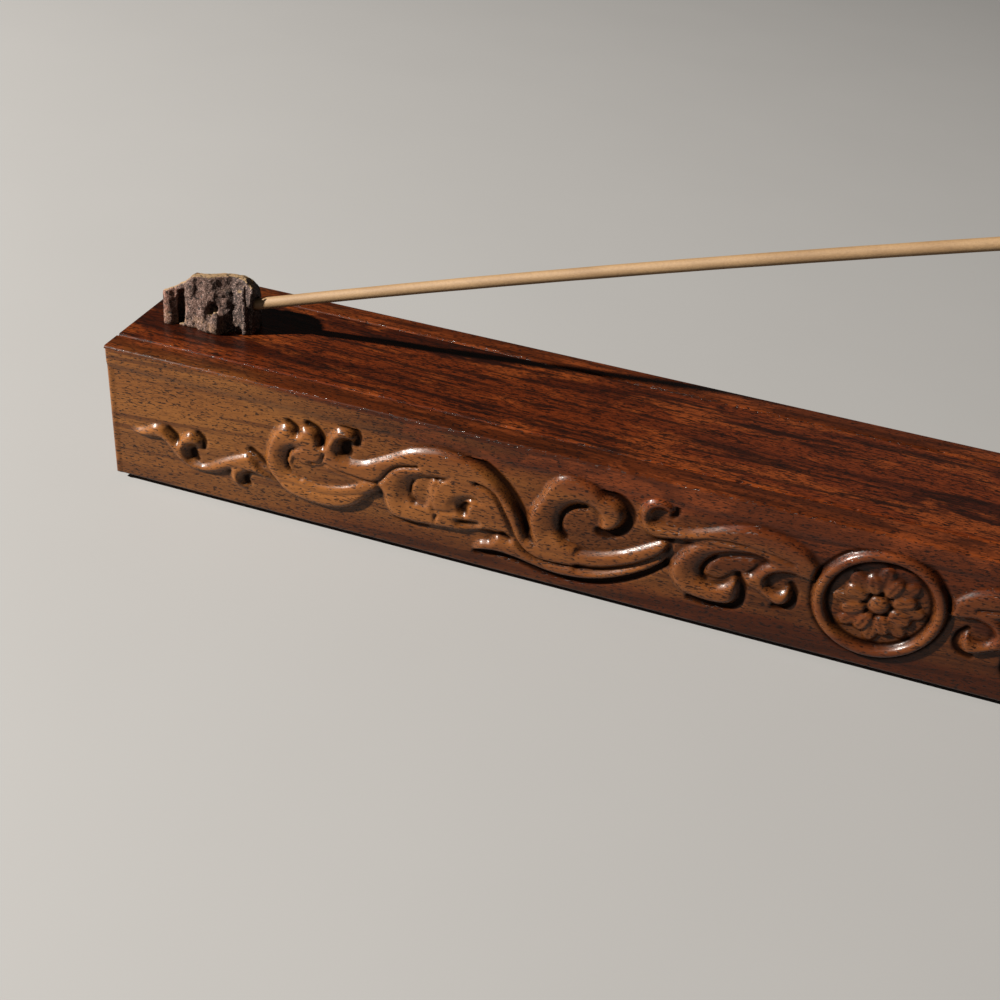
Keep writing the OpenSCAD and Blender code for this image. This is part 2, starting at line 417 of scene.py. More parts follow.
def distance(grid, line):
    """How far each point of the grid is from a line of points."""
    nearest = np.full(grid.shape[:-1], np.inf)
    for a, b in zip(line, line[1:]):
        run = b - a
        size = run @ run
        if size < 1e-12:
            continue
        t = np.clip(((grid - a) @ run) / size, 0, 1)[..., None]
        nearest = np.minimum(nearest, np.linalg.norm(grid - a - t * run, axis=-1))
    return nearest


def inside(grid, line):
    """Which points of the grid are within a closed outline."""
    x, z = grid[..., 0], grid[..., 1]
    odd = np.zeros(x.shape, bool)
    for (ax, az), (bx, bz) in zip(line, np.roll(line, -1, axis=0)):
        if az == bz:
            continue
        crosses = (az > z) != (bz > z)
        odd ^= crosses & (x < ax + (z - az) * (bx - ax) / (bz - az))
    return odd


# Lines that a raised shape shares with the hollow beside it
CLOUD_EYE = [(1.42, 0.355), (1.37, 0.385), (1.335, 0.425), (1.325, 0.48), (1.345, 0.545)]
SPIRAL_EYE = [(3.25, 0.4), (3.205, 0.455), (3.193, 0.53), (3.215, 0.6), (3.27, 0.655), (3.34, 0.672),
              (3.405, 0.655), (3.435, 0.61)]
LOW_EYE = [(4.21, 0.345), (4.155, 0.36), (4.125, 0.41), (4.14, 0.475), (4.19, 0.54), (4.28, 0.59)]
SMALL_EYE = [(4.59, 0.415), (4.545, 0.435), (4.53, 0.48), (4.57, 0.525), (4.66, 0.55)]

# Raised shapes, each a closed outline of smooth strokes
WAVE = outline(
    [(0.13, 0.393), (0.25, 0.447), (0.34, 0.495), (0.41, 0.485), (0.46, 0.435), (0.495, 0.395)],
    [(0.53, 0.45), (0.6, 0.492), (0.655, 0.465), (0.685, 0.42), (0.67, 0.385)],
    [(0.635, 0.395), (0.595, 0.375), (0.575, 0.33), (0.6, 0.27), (0.68, 0.262)],
    [(0.73, 0.285), (0.85, 0.36), (1.0, 0.435), (1.07, 0.455), (1.13, 0.41), (1.2, 0.34)],
    [(1.25, 0.25)],
    [(1.17, 0.27), (1.1, 0.285), (1.02, 0.28), (0.98, 0.24), (0.985, 0.19), (1.03, 0.165)],
    [(1.01, 0.147), (0.96, 0.152), (0.915, 0.18), (0.895, 0.22), (0.892, 0.27)],
    [(0.81, 0.222), (0.72, 0.2), (0.63, 0.197), (0.55, 0.225), (0.49, 0.27), (0.43, 0.345), (0.37, 0.38),
     (0.25, 0.365), (0.13, 0.393)],
)
CLOUD = outline(
    [(1.25, 0.25), (1.17, 0.36), (1.15, 0.44), (1.163, 0.55), (1.2, 0.66), (1.25, 0.72), (1.32, 0.75),
     (1.385, 0.708)],
    [(1.42, 0.755), (1.48, 0.765), (1.53, 0.735), (1.565, 0.665)],
    [(1.6, 0.74), (1.66, 0.81), (1.73, 0.825), (1.785, 0.795), (1.8, 0.75), (1.785, 0.725)],
    [(1.745, 0.735), (1.7, 0.715), (1.68, 0.66), (1.7, 0.615), (1.76, 0.6)],
    [(1.87, 0.625), (2.0, 0.69)],
    [(2.05, 0.6), (1.99, 0.52), (1.98, 0.45), (1.985, 0.41)],
    [(1.92, 0.36), (1.85, 0.27), (1.78, 0.215), (1.68, 0.175), (1.55, 0.163), (1.4, 0.18), (1.32, 0.205),
     (1.25, 0.25)],
)
ARCH = outline(
    [(1.75, 0.56), (1.87, 0.622), (2.02, 0.708), (2.16, 0.79), (2.3, 0.832), (2.42, 0.845),
     (2.55, 0.828), (2.67, 0.78), (2.77, 0.705), (2.86, 0.61), (2.92, 0.53), (2.955, 0.45), (3.0, 0.34)],
    [(3.15, 0.33), (3.4, 0.355), (3.58, 0.415), (3.7, 0.485), (3.84, 0.582)],
    [(3.96, 0.585)],
    [(3.9, 0.43), (3.8, 0.325), (3.7, 0.25), (3.6, 0.19), (3.48, 0.14), (3.35, 0.11), (3.2, 0.1),
     (3.05, 0.122), (2.92, 0.148), (2.8, 0.155), (2.7, 0.138), (2.632, 0.118)],
    [(2.64, 0.17), (2.675, 0.225), (2.74, 0.248)],
    [(2.78, 0.295), (2.83, 0.32), (2.88, 0.3)],
    [(2.76, 0.31), (2.66, 0.29), (2.55, 0.25), (2.45, 0.24), (2.37, 0.232), (2.2, 0.222), (2.08, 0.235),
     (2.02, 0.3), (1.985, 0.41), (1.9, 0.49), (1.75, 0.56)],
)
SPIRAL = outline(
    [(3.06, 0.24), (3.0, 0.38), (2.972, 0.48), (2.98, 0.56), (3.01, 0.64), (3.04, 0.7)],
    [(3.075, 0.79), (3.14, 0.865), (3.22, 0.897), (3.31, 0.89), (3.39, 0.855), (3.45, 0.8)],
    [(3.53, 0.785), (3.585, 0.735), (3.605, 0.665), (3.58, 0.59), (3.53, 0.54), (3.47, 0.525),
     (3.435, 0.545)],
    [*SPIRAL_EYE[::-1], (3.34, 0.37)],
    [(3.34, 0.26), (3.06, 0.24)],
)
CURL = outline(
    [(3.9, 0.585), (3.8, 0.575), (3.735, 0.6), (3.69, 0.655), (3.668, 0.735), (3.685, 0.81),
     (3.735, 0.86), (3.8, 0.875), (3.86, 0.85), (3.888, 0.8), (3.87, 0.765)],
    [(3.83, 0.79), (3.785, 0.78), (3.765, 0.73), (3.79, 0.695), (3.9, 0.695)],
    [(4.0, 0.712), (4.1, 0.748), (4.22, 0.8), (4.35, 0.838), (4.5, 0.832), (4.63, 0.8), (4.73, 0.75),
     (4.81, 0.67)],
    [(4.8, 0.58), (4.72, 0.54)],
    [(4.6, 0.56), (4.45, 0.62), (4.3, 0.62), (4.1, 0.61), (3.98, 0.6), (3.9, 0.585)],
)
LOW_CLOUD = outline(
    [(4.5, 0.66), (4.3, 0.68), (4.15, 0.66), (4.06, 0.635), (3.995, 0.575), (3.95, 0.5), (3.922, 0.43),
     (3.925, 0.35), (3.965, 0.27), (4.03, 0.22), (4.12, 0.2), (4.23, 0.195), (4.32, 0.21), (4.37, 0.255),
     (4.378, 0.32), (4.365, 0.39), (4.335, 0.445)],
    [(4.3, 0.395), (4.26, 0.36), *LOW_EYE, (4.38, 0.615), (4.5, 0.62), (4.5, 0.66)],
)
SMALL_CLOUD = outline(
    [(4.8, 0.6), (4.72, 0.63), (4.6, 0.64), (4.52, 0.62), (4.46, 0.56), (4.41, 0.495), (4.355, 0.5)],
    [(4.37, 0.44), (4.41, 0.395), (4.48, 0.37), (4.55, 0.33), (4.61, 0.303), (4.665, 0.32), (4.69, 0.37),
     (4.685, 0.43), (4.66, 0.48)],
    [(4.635, 0.435), *SMALL_EYE, (4.8, 0.545), (4.8, 0.6)],
)
SHELF = loop((4.14, 0.4), (4.16, 0.5), (4.24, 0.56), (4.4, 0.6), (4.45, 0.57), (4.4, 0.49),
             (4.32, 0.46), (4.24, 0.39))
# How high each stands as a share of the relief, and how wide its rounded shoulder is
RAISED = [(WAVE, 0.85, 0.045), (CLOUD, 1.0, 0.055), (ARCH, 0.95, 0.05), (SPIRAL, 1.0, 0.06),
          (CURL, 0.9, 0.05), (LOW_CLOUD, 1.0, 0.055), (SMALL_CLOUD, 0.95, 0.045), (SHELF, 0.35, 0.02)]

# Hollows gouged from an outer line down to a stop cut at an inner line: both lines and the depth
HOLLOWS = [
    ([(1.47, 0.65), (1.37, 0.64), (1.28, 0.6), (1.235, 0.52), (1.235, 0.43), (1.28, 0.35), (1.38, 0.305)],
     [(1.46, 0.6), (1.4, 0.585), *CLOUD_EYE[::-1]], 0.85),
    ([(2.5, 0.66), (2.36, 0.655), (2.22, 0.635), (2.12, 0.59), (2.07, 0.51), (2.065, 0.43), (2.1, 0.355),
      (2.17, 0.32), (2.25, 0.345)],
     [(2.46, 0.63), (2.36, 0.61), (2.27, 0.592), (2.215, 0.56), (2.19, 0.5), (2.195, 0.44), (2.225, 0.4)],
     0.9),
    ([(2.72, 0.545), (2.63, 0.575), (2.54, 0.565), (2.46, 0.52), (2.435, 0.44), (2.46, 0.385),
      (2.51, 0.36)],
     [(2.7, 0.505), (2.62, 0.52), (2.565, 0.505), (2.525, 0.465), (2.53, 0.42), (2.56, 0.395)], 0.8),
    ([(3.45, 0.75), (3.35, 0.755), (3.22, 0.73), (3.115, 0.665), (3.06, 0.57), (3.05, 0.47),
      (3.09, 0.38), (3.17, 0.32)],
     SPIRAL_EYE[::-1], 0.85),
    ([(4.55, 0.655), (4.4, 0.668), (4.23, 0.652), (4.1, 0.595), (4.025, 0.51), (4.0, 0.43), (4.02, 0.35),
      (4.09, 0.295), (4.18, 0.28)],
     [(4.52, 0.62), (4.4, 0.615), *LOW_EYE[::-1]], 0.9),
    ([(4.74, 0.6), (4.62, 0.6), (4.53, 0.555), (4.49, 0.48), (4.5, 0.41), (4.55, 0.37)],
     [(4.76, 0.555), *SMALL_EYE[::-1]], 0.85),
    ([(3.9, 0.84), (3.82, 0.85), (3.75, 0.82), (3.715, 0.75), (3.74, 0.68), (3.82, 0.65)],
     [(3.87, 0.77), (3.83, 0.79), (3.785, 0.78), (3.765, 0.73), (3.79, 0.695), (3.84, 0.69)], 0.6),
]

# Flat floors and pits: outline, level as a share of the relief, and width of the wall round it
TONGUE = outline(
    [(1.345, 0.53), (1.33, 0.46), (1.35, 0.4), (1.41, 0.355), (1.5, 0.33), (1.62, 0.335), (1.76, 0.375),
     (1.9, 0.46)],
    [(1.78, 0.475), (1.64, 0.495), (1.6, 0.53), (1.585, 0.6)],
    [(1.57, 0.545), (1.53, 0.51), (1.46, 0.5), (1.41, 0.52), (1.37, 0.54), (1.345, 0.53)],
)
BELLY = outline([(2.2, 0.36), (2.15, 0.43), (2.14, 0.51), (2.17, 0.59), (2.26, 0.635), (2.37, 0.64)],
                [(2.35, 0.53), (2.345, 0.44), (2.31, 0.37), (2.2, 0.36)])
POCKET = loop((2.47, 0.36), (2.57, 0.38), (2.68, 0.385), (2.69, 0.33), (2.61, 0.285), (2.52, 0.29))
NOTCH = loop((2.355, 0.375), (2.395, 0.35), (2.39, 0.31), (2.375, 0.26), (2.36, 0.31))
LEAF_BACK = loop((1.975, 0.42), (1.92, 0.35), (1.84, 0.27), (1.89, 0.23), (1.97, 0.26), (2.01, 0.33))
WAVE_PIT = loop((0.635, 0.392), (0.598, 0.37), (0.578, 0.325), (0.6, 0.275), (0.67, 0.262),
                (0.665, 0.32))
HOOK_PIT = loop((1.08, 0.285), (1.02, 0.278), (0.98, 0.24), (0.98, 0.195), (1.02, 0.165), (1.06, 0.19),
                (1.04, 0.24))
CURL_PIT = loop((1.785, 0.74), (1.74, 0.745), (1.695, 0.715), (1.678, 0.66), (1.7, 0.61), (1.76, 0.6),
                (1.785, 0.65), (1.77, 0.7))
EYE = loop((2.63, 0.5), (2.56, 0.52), (2.5, 0.47), (2.505, 0.41), (2.55, 0.375), (2.6, 0.4),
           (2.605, 0.45))
CURL_EYE = loop((3.87, 0.785), (3.83, 0.8), (3.785, 0.785), (3.765, 0.73), (3.8, 0.69), (3.86, 0.7),
                (3.85, 0.74))
FLOORS = [(TONGUE, 0.42, 0.03), (BELLY, 0.36, 0.05), (POCKET, 0.1, 0.05), (NOTCH, 0.0, 0.03),
          (LEAF_BACK, 0.05, 0.03), (WAVE_PIT, -0.35, 0.025), (HOOK_PIT, -0.3, 0.025),
          (CURL_PIT, -0.35, 0.025), (EYE, -0.05, 0.04), (CURL_EYE, -0.1, 0.02)]

# V-cut lines: the line, its width and its depth
CUTS = [
    ([(1.03, 0.45), (1.09, 0.4), (1.12, 0.36), (1.18, 0.315), (1.26, 0.262)], 0.026, 0.9),
    ([(1.6, 0.52), (1.66, 0.495), (1.75, 0.482), (1.87, 0.472), (1.95, 0.478), (2.0, 0.53),
      (2.035, 0.585), (2.1, 0.64), (2.23, 0.675)], 0.02, 0.65),
    ([(2.62, 0.66), (2.7, 0.64), (2.75, 0.61), (2.79, 0.56), (2.83, 0.49), (2.87, 0.42), (2.91, 0.34),
      (2.95, 0.28), (3.0, 0.235), (3.08, 0.2), (3.2, 0.198), (3.35, 0.212)], 0.018, 0.8),
    ([(3.35, 0.212), (3.45, 0.225), (3.57, 0.265), (3.7, 0.33), (3.8, 0.4), (3.88, 0.48), (3.94, 0.59)],
     0.04, 0.95),
    ([(1.28, 0.3), (1.38, 0.305), (1.5, 0.285), (1.62, 0.29), (1.75, 0.32), (1.9, 0.38)], 0.012, 0.25),
    ([(2.36, 0.378), (2.43, 0.385), (2.5, 0.4)], 0.014, 0.4),
    ([(2.45, 0.655), (2.39, 0.61), (2.35, 0.54), (2.338, 0.464), (2.355, 0.385)], 0.02, 0.22),
    ([(1.585, 0.6), (1.57, 0.545), (1.53, 0.51), (1.49, 0.51)], 0.014, 0.6),
    ([(0.892, 0.27), (0.91, 0.3), (0.96, 0.315), (1.04, 0.3), (1.12, 0.285)], 0.014, 0.3),
    ([(3.84, 0.582), (3.93, 0.597), (4.04, 0.64), (4.15, 0.675), (4.3, 0.69), (4.5, 0.675),
      (4.66, 0.645)], 0.018, 0.5),
]

# Deeper V-cuts beside the raised shapes, down into the ground: the line, its width and its depth
SET_INS = [
    ([(0.44, 0.475), (0.485, 0.435), (0.51, 0.4)], 0.03, 0.4),
    ([(0.66, 0.495), (0.7, 0.45), (0.695, 0.395)], 0.03, 0.4),
    ([(1.05, 0.47), (1.1, 0.43), (1.135, 0.39)], 0.035, 0.4),
    ([(1.32, 0.765), (1.37, 0.735), (1.385, 0.7)], 0.028, 0.4),
    ([(1.46, 0.78), (1.52, 0.755), (1.56, 0.7), (1.565, 0.66)], 0.035, 0.5),
    ([(1.7, 0.84), (1.77, 0.825), (1.81, 0.775), (1.8, 0.72)], 0.035, 0.5),
    ([(2.55, 0.84), (2.68, 0.79), (2.79, 0.71), (2.88, 0.61), (2.94, 0.51), (2.985, 0.4)], 0.042, 0.5),
    ([(2.09, 0.225), (2.2, 0.21), (2.32, 0.22)], 0.02, 0.25),
    ([(2.66, 0.12), (2.8, 0.145), (2.95, 0.135), (3.1, 0.105), (3.3, 0.095), (3.5, 0.13), (3.66, 0.205),
      (3.8, 0.3), (3.9, 0.4)], 0.034, 0.45),
    ([(3.31, 0.9), (3.42, 0.86), (3.48, 0.81), (3.56, 0.775), (3.615, 0.72), (3.625, 0.645),
      (3.59, 0.57), (3.52, 0.52), (3.45, 0.515)], 0.05, 0.5),
    ([*SPIRAL_EYE[5:0:-1], (3.24, 0.41)], 0.024, 0.5),
    ([(3.83, 0.885), (3.885, 0.855), (3.905, 0.8), (3.885, 0.76)], 0.03, 0.4),
    ([(3.905, 0.585), (3.9, 0.5), (3.9, 0.4)], 0.03, 0.35),
    ([(4.345, 0.46), (4.385, 0.4), (4.4, 0.32), (4.39, 0.24), (4.33, 0.195), (4.2, 0.18), (4.08, 0.19)],
     0.035, 0.45),
    (LOW_EYE[1:5], 0.022, 0.4),
    ([(4.67, 0.48), (4.705, 0.43), (4.71, 0.36), (4.67, 0.305), (4.6, 0.285)], 0.03, 0.45),
    (CLOUD_EYE, 0.024, 0.45),
    ([(2.225, 0.4), (2.195, 0.44), (2.19, 0.5), (2.205, 0.55)], 0.018, 0.4),
]
FADE = 0.12  # length over which a hollow runs out at each end
REACH = 0.09  # how far past its own points a line can change the carving

RING_OUTER = 0.402
RING_INNER = 0.312
RING_CUT = (0.022, 0.35)  # width and depth of the cut along both edges of the ring
MEDAL_AT = (MIDDLE, 0.495)
PETALS = 8
PETAL_WIDTH = 0.078
BOSS_R = 0.07
SURROUNDINGS = 48  # passes of softening that give the level round each point of the carving


def shoulder_of(share):
    """0 at the edge of a raised shape and 1 well inside it: a bevel that rounds over into the top."""
    t = np.clip(share, 0, 1)
    return 1.5 * t - 0.5 * t**3


def dome(share):
    """0 at the edge of a raised shape and 1 well inside it, along a quarter circle."""
    t = np.clip(share, 0, 1)
    return np.sqrt(1 - (1 - t) ** 2)


def ease(share):
    """0 to 1 with a soft start and end."""
    t = np.clip(share, 0, 1)
    return t * t * (3 - 2 * t)


def medallion_height(grid):
    """A rounded ring round a rosette of petals, as a share of the relief."""
    dx, dz = grid[..., 0] - MEDAL_AT[0], grid[..., 1] - MEDAL_AT[1]
    radius = np.hypot(dx, dz)
    angle = np.arctan2(dz, dx)
    middle, half = (RING_OUTER + RING_INNER) / 2, (RING_OUTER - RING_INNER) / 2
    ring = dome(1 - np.abs(radius - middle) / half)
    step = 2 * np.pi / PETALS
    height = np.zeros_like(radius)
    for turn, reach, root, high in ((0.5, 0.275, 0.1, 0.55), (0.0, 0.225, 0.07, 0.85)):
        off = (angle / step + turn) % 1 - 0.5
        across = radius * np.sin(off * step)
        along = (radius * np.cos(off * step) - root) / (reach - root)
        width = PETAL_WIDTH * np.sqrt(np.clip(along, 0, 1)) * (1 - np.clip(along, 0, 1) ** 3) ** 0.6 + 1e-6
        petal = dome(1 - np.abs(across) / width) * (along > 0) * (along < 1)
        vein = 1 - 0.35 * np.exp(-(across / 0.008) ** 2) * ease(4 * along)
        height = np.maximum(height, high * petal * vein)
    boss = 0.95 * dome(1 - radius / BOSS_R)
    moat = ease((radius - BOSS_R) / 0.025)
    height = np.maximum(np.where(radius > BOSS_R, height * moat, 0), boss)
    return np.maximum(ring, height)


def soften(height, passes=1):
    """Averages each point with its neighbours, as sanding does."""
    for _ in range(passes):
        padded = np.pad(height, 1, mode="edge")
        side = padded[:-2, 1:-1] + padded[2:, 1:-1] + padded[1:-1, :-2] + padded[1:-1, 2:]
        height = 0.5 * height + 0.125 * side
    return height


def near(line, across, up):
    """The part of the grid that a line can change, as two slices."""
    low, high = line.min(0) - REACH, line.max(0) + REACH
    return (slice(*np.searchsorted(across, (low[0], high[0]))),
            slice(*np.searchsorted(up, (low[1], high[1]))))


def depth_inside(grid, shape):
    """How far each point is inside a closed outline, and 0 outside it."""
    return distance(grid, shape) * inside(grid, shape)


def scoop(grid, outer, inner):
    """The share of its depth that a hollow has at each point: 0 at its outer line, 1 at its inner one."""
    from_outer, from_inner = distance(grid, outer), distance(grid, inner)
    share = (from_outer / (from_outer + from_inner + 1e-9)) ** 1.3
    share = share * inside(grid, np.vstack([outer, inner[::-1]]))
    for end in ((outer[0] + inner[0]) / 2, (outer[-1] + inner[-1]) / 2):
        share = share * ease(np.linalg.norm(grid - end, axis=-1) / FADE)
    return share


def v_cut(grid, line, width):
    """1 along a line, down to 0 at its width."""
    return np.clip(1 - distance(grid, line) / width, 0, 1)


def set_medallion(height, grid):
    """The carving with the medallion in it, and a fine cut along both edges of its ring."""
    radius = np.linalg.norm(grid - MEDAL_AT, axis=-1)
    height = np.where(radius < RING_INNER, 0, height)
    height = np.where(radius < RING_OUTER, np.maximum(height, medallion_height(grid)), height)
    width, depth = RING_CUT
    for edge in (RING_INNER, RING_OUTER):
        height = height - depth * np.clip(1 - np.abs(radius - edge) / width, 0, 1)
    return height


def carve(across, up):
    """Height of the carving above the sunken ground, in millimetres, at a grid of the left half."""
    grid = np.stack(np.meshgrid(across, up, indexing="ij"), axis=-1)
    height = np.zeros(grid.shape[:2])
    for shape, top, shoulder in RAISED:
        w = near(shape, across, up)
        height[w] = np.maximum(height[w], top * shoulder_of(depth_inside(grid[w], shape) / shoulder))
    for outer, inner, depth in HOLLOWS:
        outer, inner = curve(outer), curve(inner)
        w = near(np.vstack([outer, inner]), across, up)
        height[w] = height[w] * (1 - depth * scoop(grid[w], outer, inner))
    for shape, level, wall in FLOORS:
        w = near(shape, across, up)
        lowered = np.minimum(level, height[w]) - height[w]
        height[w] += lowered * ease(depth_inside(grid[w], shape) / wall)
    for line, width, depth in CUTS:
        line = curve(line)
        w = near(line, across, up)
        height[w] -= depth * np.clip(height[w], 0, 1) * v_cut(grid[w], line, width)
    for line, width, depth in SET_INS:
        line = curve(line)
        w = near(line, across, up)
        height[w] -= depth * v_cut(grid[w], line, width)
    return RELIEF * soften(set_medallion(height, grid), 2)


def hollow_share(out):
    """How much of a hollow each point of a face is: lower than around it, or cut into the ground."""
    sunk = soften(out, SURROUNDINGS) - out
    return np.maximum(np.clip((sunk - 0.13) / 0.32, 0, 1), np.clip((GROUND - out - 0.05) / 0.2, 0, 1))


def wall_face():
    """Stations along the wall, heights up it, and for each point of this grid how far out the carved
    face stands and how much of a hollow it is."""
    columns = int(round(HALF / CELL))
    left = np.linspace(-HALF, 0, columns + 1)
    up = np.linspace(BASE, TOP - ROUND_OFF, int(round((TOP - BASE) / CELL)))
    relief = carve((left + HALF) / UNIT, (up - BASE) / UNIT)
    end_border = END_STEP * ease(0.5 - (left[:, None] + HALF - BORDER_END) / END_SLOPE)
    top_border = GROUND_DEPTH * ease(0.5 - (TOP - BORDER_TOP - up[None, :]) / TOP_SLOPE)
    border = np.maximum(end_border, top_border)
    out = GROUND + np.where(border > 0, np.maximum(relief, border), relief)
    stations = np.concatenate([left, -left[-2::-1]])
    out = np.concatenate([out, out[-2::-1]])
    end = HALF - np.abs(stations)
    worn = END_WEAR * np.clip(1 - end / 0.5, 0, 1)[:, None] ** 2
    foot = FOOT_WEAR * np.clip(1 - (up - BASE) / 0.4, 0, 1)[None, :] ** 2
    return stations, up, out - np.maximum(worn, foot), hollow_share(out)


def wall_profile(x):
    """The rest of a long wall's cross-section at x, from the top of its carved face round to its foot:
    the rounded top edge, the lid's groove, and the rabbet of the bottom panel."""
    in_left_seat = x < -HALF + WALL
    in_right_seat = x > HALF - WALL
    lip = SEAT if in_right_seat else INNER
    low = SEAT if in_left_seat or in_right_seat else INNER
    turns = np.linspace(0, math.pi / 2, 5)
    corner = ROUND_OFF * np.stack([np.cos(turns), np.sin(turns)], axis=-1)
    outer_arc = corner + (FACE - ROUND_OFF, TOP - ROUND_OFF)
    inner_arc = corner[::-1] * (-1, 1) + (lip + ROUND_OFF, TOP - ROUND_OFF)
    groove = [(lip, LIP), (SEAT, LIP), (SEAT, LID_FLOOR), (low, LID_FLOOR)]
    rabbet = [(low, PANEL_TOP), (SEAT, PANEL_TOP), (SEAT, BASE)]
    return [*outer_arc, *inner_arc, *groove, *rabbet]


def long_wall(name, side):
    """A carved wall with the lid's groove and the seats of its neighbours; side is -1 for the front."""
    stations, up, out, hollow = wall_face()
    rings = []
    for x, face in zip(stations, out):
        rings.append([(x, side * y, z) for y, z in [*zip(face, up), *wall_profile(x)]])
    piece = ring_mesh(name, rings, 50)
    depth = piece.data.attributes.new(HOLLOW_NAME, "FLOAT", "POINT")
    points = np.array([v.co for v in piece.data.vertices]) / MM
    column = np.clip(np.searchsorted(stations, points[:, 0] - CELL / 2), 0, len(stations) - 1)
    row = np.clip(np.searchsorted(up, points[:, 2] - CELL / 2), 0, len(up) - 1)
    carved = (np.abs(points[:, 1]) > GROUND - WALL / 2) & (points[:, 2] < up[-1])
    depth.data.foreach_set("value", (hollow[column, row] * carved).astype(np.float32))
    return piece


def ring_mesh(name, rings, smooth_below):
    """A closed solid through rings of points, all with the same count, capped at both ends."""
    count = len(rings[0])
    index = np.arange(len(rings) * count).reshape(len(rings), count)
    ahead = np.roll(index, -1, axis=1)
    sides = np.stack([index[:-1], ahead[:-1], ahead[1:], index[1:]], axis=-1).reshape(-1, 4)
    faces = sides.tolist() + [index[0][::-1].tolist(), index[-1].tolist()]
    return mesh_object(name, np.array(rings).reshape(-1, 3), faces, smooth_below)


# ---------------- the root-wood holder

HOLDER_MIDDLE = -131.2  # where the holder's features are measured from, along the box
ROOT_CELL = 0.24  # spacing of the grid that the holder's surface is found on
FACING = (0.881, 0.474)  # the way along the holder's front, seen from above
HOLE_R = 1.3  # radius of the stick's hole
HOLE_END = 0.3  # how far the hole goes on past the stick's end


def lattice_noise(points, scale, seed):
    """Smooth random values from -1 to 1, a lattice of the given spacing in millimetres."""
    lattice = np.random.default_rng(seed).uniform(-1, 1, (32, 32, 32))
    place = points / scale + 1000.0
    cell = np.floor(place).astype(int)
    part = place - cell
    part = part * part * (3 - 2 * part)
    value = 0.0
    for corner in np.ndindex(2, 2, 2):
        weight = np.prod(np.where(corner, part, 1 - part), axis=-1)
        value = value + weight * lattice[tuple(((cell + corner) % 32)[..., k] for k in range(3))]
    return value


def blend_low(a, b, width):
    """The lower of two fields, with a fillet of the given width where they meet."""
    h = np.clip(0.5 + 0.5 * (b - a) / width, 0, 1)
    return b + (a - b) * h - width * h * (1 - h)


def blend_high(a, b, width):
    """The higher of two fields, with the same fillet."""
    return -blend_low(-a, -b, width)


def lump(p, centre, radii):
    """A rough distance to an ellipsoid: below 0 inside it."""
    size = np.linalg.norm((p - centre) / radii, axis=-1)
    return (size - 1) * min(radii)


def root_outline():
    """The holder's foot: a lobe, a broad front with a bulge, and a face that runs back to a ridge."""
    return outline(
        [(-9.2, 0.4), (-9.5, -2.2), (-9.6, -3.8), (-9.1, -4.9), (-8.1, -5.4), (-7.1, -5.3), (-6.0, -4.5),
         (-4.4, -4.3), (-3.0, -4.7), (-1.4, -4.7), (0.4, -5.0), (1.9, -5.5), (2.9, -5.3)],
        [(3.3, -4.2), (4.2, -3.0), (5.2, -2.5), (6.2, -2.2), (7.6, -1.8), (8.6, -1.65), (8.7, 0.0),
         (8.4, 2.4), (7.0, 4.4), (4.5, 5.4), (1.0, 5.7), (-3.0, 5.5), (-6.6, 4.6), (-8.6, 2.8),
         (-9.2, 0.4)],
    )


def root_block(rough, across, back):
    """The holder's outer shape: its foot, its stepped crown, and its front that leans back."""
    plan, foot = rough[:, :, :1, :2], root_outline()
    edge = distance(plan, foot)
    edge = np.where(inside(plan, foot), -edge, edge)
    h = rough[..., 2]
    crown = np.interp(across, [-11.2, -10.7, -10.2, -8.6, -7.3, -5.4, -3.8, 1.4, 5.5, 7.0, 7.8, 8.6],
                      [4.0, 5.9, 6.9, 7.5, 8.0, 9.4, 10.5, 10.4, 10.0, 8.8, 8.0, 7.0])
    crown = crown - 0.65 * np.clip(back + 0.5, 0, None)
    lean = 0.34 * h - 4.9 - back - 0.9 * np.clip(across - 3.2, 0, None)
    return blend_high(blend_high(edge + 0.04 * h, h - crown, 0.7), lean, 0.5)


def root_hollows(rough, across, back):
    """The cleft beside the lobe, and the knot hole, pit and socket of the front."""
    h = rough[..., 2]
    cleft = np.abs(across + 6.65) - 0.8 + 0.08 * np.abs(h - 4.2)
    cleft = np.maximum(np.maximum(cleft, np.maximum(back - 2.4, h - 7.3)), 0.3 - h)
    knot = lump(rough, (0.7, -3.6, 4.5), (0.95, 2.4, 1.2))
    pit = lump(rough, (4.9, -4.0, 2.9), (2.2, 2.1, 3.7))
    socket = lump(rough, (4.9, -1.4, 8.6), (1.3, 1.3, 0.9))
    return cleft, knot, pit, socket


def stick_hole(p, start, axis):
    """The stick's bore as a field: below 0 inside it."""
    along = (p - start) @ axis
    off_axis = np.linalg.norm(p - start - along[..., None] * axis, axis=-1)
    return np.maximum(off_axis - HOLE_R, -HOLE_END - along)


